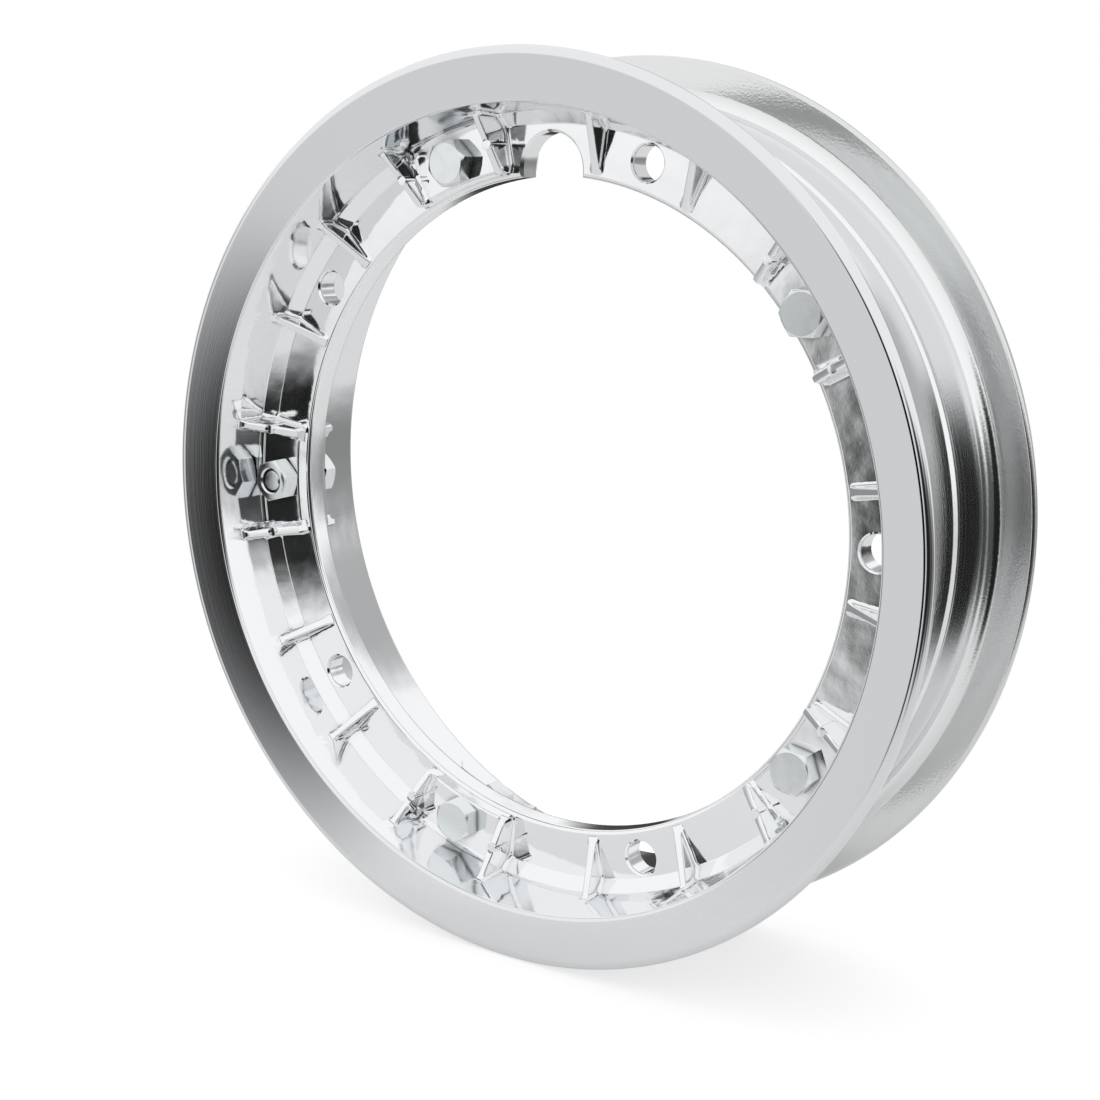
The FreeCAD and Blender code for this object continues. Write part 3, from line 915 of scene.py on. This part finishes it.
def pale_floor(studio):
    """Pale floor that keeps the wheel's shadow, whitened for the eye and for reflections."""
    material, maker, place = new_material("pale_floor")
    path = maker.add("ShaderNodeLightPath").outputs
    mirrored = maker.math("MAXIMUM", path["Is Glossy Ray"], path["Is Transmission Ray"])
    mirrored = maker.math("MULTIPLY", mirrored, studio.floor_mirrored)
    seen = maker.math("MAXIMUM", path["Is Camera Ray"], mirrored)
    base = maker.add("ShaderNodeBsdfDiffuse", {"Color": studio.floor_colour})
    lift = maker.add("ShaderNodeEmission", {"Strength": maker.math("MULTIPLY", seen, studio.floor_lift)})
    lit = maker.add("ShaderNodeAddShader", {0: base.outputs[0], 1: lift.outputs[0]})
    away = maker.add("ShaderNodeVectorMath", {0: place}, operation="LENGTH").outputs["Value"]
    start, end = (studio.floor_radius * part for part in FLOOR_FADE)
    fade = maker.spread(away, start, end, 0.0, 1.0)
    clear = maker.add("ShaderNodeBsdfTransparent")
    mixed = maker.add("ShaderNodeMixShader", {0: fade, 1: lit.outputs[0], 2: clear.outputs[0]})
    maker.add("ShaderNodeOutputMaterial", {"Surface": mixed.outputs[0]})
    return material


def aim(azimuth, elevation):
    """Direction at an azimuth from -Y towards +X and an elevation, in degrees."""
    across, up = math.radians(azimuth), math.radians(elevation)
    return (math.sin(across) * math.cos(up), -math.cos(across) * math.cos(up), math.sin(up))


def studio_world():
    """White studio with soft dark flags that the metal reflects."""
    world = bpy.data.worlds.new("studio")
    world.use_nodes = True
    maker = NodeMaker(world.node_tree)
    direction = maker.add("ShaderNodeTexCoord").outputs["Generated"]
    height = maker.add("ShaderNodeSeparateXYZ", {0: direction}).outputs["Z"]
    level = maker.spread(height, *HORIZON, GROUND_LEVEL, 1.0)
    for azimuth, elevation, inner, outer, dark in FLAGS:
        inputs = {0: direction, 1: aim(azimuth, elevation)}
        facing = maker.add("ShaderNodeVectorMath", inputs, operation="DOT_PRODUCT").outputs["Value"]
        edge, core = math.cos(math.radians(outer)), math.cos(math.radians(inner))
        level = maker.math("MULTIPLY", maker.spread(facing, edge, core, 1.0, dark), level)
    seen = maker.add("ShaderNodeLightPath").outputs["Is Camera Ray"]
    strength = maker.math("MAXIMUM", level, seen)
    sky = maker.add("ShaderNodeBackground", {"Color": (1, 1, 1, 1), "Strength": strength})
    maker.add("ShaderNodeOutputWorld", {"Surface": sky.outputs[0]})
    return world


class SPLITRIM_OT_halves(bpy.types.Operator):
    """Build both cast halves in place of the plain ones"""
    bl_idname = "splitrim.halves"
    bl_label = "Cast Halves"

    def execute(self, context):
        scene, finish = context.scene, context.scene.rim_finish
        materials = [polished_casting(finish), turned_lip(finish), bead_seat(scene.rim_sizes, finish)]
        for name, node, side in (("front_casting", "front_half", -1), ("rear_casting", "rear_half", 1)):
            half = cast_half(scene.rim_sizes, side, name, materials)
            finish_piece(half)
            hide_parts(node)
        return {"FINISHED"}


class SPLITRIM_OT_bolts(bpy.types.Operator):
    """Build the clamp bolts with their threads"""
    bl_idname = "splitrim.bolts"
    bl_label = "Clamp Bolts"

    def execute(self, context):
        rim, fastener = context.scene.rim_sizes, context.scene.rim_fasteners
        bolt = hexagon(fastener, fastener.head_height, False)
        bolt.data.transform(Matrix.Scale(-1, 4, AXLE))
        bolt.data.flip_normals()
        combine(bolt, taken_mesh(threaded_rod(fastener)), "UNION")
        bearing = -rim.web - rim.pad_height
        plate = zinc_plate("bolt_zinc", context.scene.rim_finish)
        bolts = new_object("hex_bolts", at_stations(rim, fastener, taken_mesh(bolt), bearing), [plate])
        finish_piece(bolts)
        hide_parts("clamp_bolts")
        return {"FINISHED"}


class SPLITRIM_OT_nuts(bpy.types.Operator):
    """Build the clamp nuts"""
    bl_idname = "splitrim.nuts"
    bl_label = "Clamp Nuts"

    def execute(self, context):
        rim, fastener = context.scene.rim_sizes, context.scene.rim_fasteners
        nut = hexagon(fastener, fastener.nut_height, True)
        mouth = fastener.nut_bore + fastener.nut_mouth
        reach = fastener.nut_mouth
        combine(nut, spun([
            (0, -reach),
            (mouth + reach, -reach),
            (fastener.nut_bore, fastener.nut_mouth),
            (fastener.nut_bore, fastener.nut_height - fastener.nut_mouth),
            (mouth + reach, fastener.nut_height + reach),
            (0, fastener.nut_height + reach),
        ], HOLE_STEPS, closed=False), "DIFFERENCE")
        bearing = rim.web + rim.pad_height
        plate = zinc_plate("nut_zinc", context.scene.rim_finish)
        nuts = new_object("hex_nuts", at_stations(rim, fastener, taken_mesh(nut), bearing), [plate])
        finish_piece(nuts)
        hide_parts("clamp_nuts")
        return {"FINISHED"}


class SPLITRIM_OT_seal(bpy.types.Operator):
    """Give the seal ring its rubber"""
    bl_idname = "splitrim.seal"
    bl_label = "Seal Ring"

    def execute(self, context):
        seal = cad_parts["rim_seal"]
        seal.data.materials.clear()
        seal.data.materials.append(seal_rubber(context.scene.rim_finish))
        return {"FINISHED"}


class SPLITRIM_OT_stage(bpy.types.Operator):
    """Set up the floor, the studio light and the camera"""
    bl_idname = "splitrim.stage"
    bl_label = "Stage"

    def execute(self, context):
        scene, studio = context.scene, context.scene.rim_studio
        mesh = bmesh.new()
        bmesh.ops.create_circle(mesh, cap_ends=True, segments=FLOOR_STEPS, radius=studio.floor_radius)
        floor = new_object("floor", mesh)
        floor.location.z = CAD_BOX[0].z
        floor.data.materials.append(pale_floor(studio))
        scene.world = studio_world()
        camera = bpy.data.objects.new("camera", bpy.data.cameras.new("camera"))
        camera.data.lens = studio.lens
        camera.data.clip_start = CLIP_START
        camera.location = studio.eye
        sight = Vector(studio.target) - Vector(studio.eye)
        camera.rotation_euler = sight.to_track_quat("-Z", "Y").to_euler()
        scene.collection.objects.link(camera)
        scene.camera = camera
        scene.view_settings.view_transform = "Standard"
        return {"FINISHED"}


OPERATORS = (SPLITRIM_OT_halves, SPLITRIM_OT_bolts, SPLITRIM_OT_nuts, SPLITRIM_OT_seal, SPLITRIM_OT_stage)
SETTINGS = {
    "rim_sizes": RimSizes,
    "rim_fasteners": FastenerSizes,
    "rim_finish": Finishes,
    "rim_studio": Studio,
}


class SPLITRIM_PT_panel(bpy.types.Panel):
    """Lists the wheel's pieces and settings"""
    bl_idname = "SPLITRIM_PT_panel"
    bl_label = "Split Rim Wheel"
    bl_space_type = "VIEW_3D"
    bl_region_type = "UI"
    bl_category = "Split Rim"

    def draw(self, context):
        for operator in OPERATORS:
            self.layout.operator(operator.bl_idname)
        for name, group in SETTINGS.items():
            box = self.layout.box()
            settings = getattr(context.scene, name)
            for setting in group.__annotations__:
                box.prop(settings, setting)


CLASSES = (*SETTINGS.values(), *OPERATORS, SPLITRIM_PT_panel)


def register():
    """Register the classes and give the scene its settings."""
    for each in CLASSES:
        bpy.utils.register_class(each)
    for name, group in SETTINGS.items():
        setattr(bpy.types.Scene, name, bpy.props.PointerProperty(type=group))


def unregister():
    """Take the settings and classes away again."""
    for name in SETTINGS:
        delattr(bpy.types.Scene, name)
    for each in reversed(CLASSES):
        bpy.utils.unregister_class(each)


def main():
    """Build the wheel and its stage."""
    register()
    bpy.ops.splitrim.halves()
    bpy.ops.splitrim.bolts()
    bpy.ops.splitrim.nuts()
    bpy.ops.splitrim.seal()
    bpy.ops.splitrim.stage()


if __name__ == "__main__":
    main()
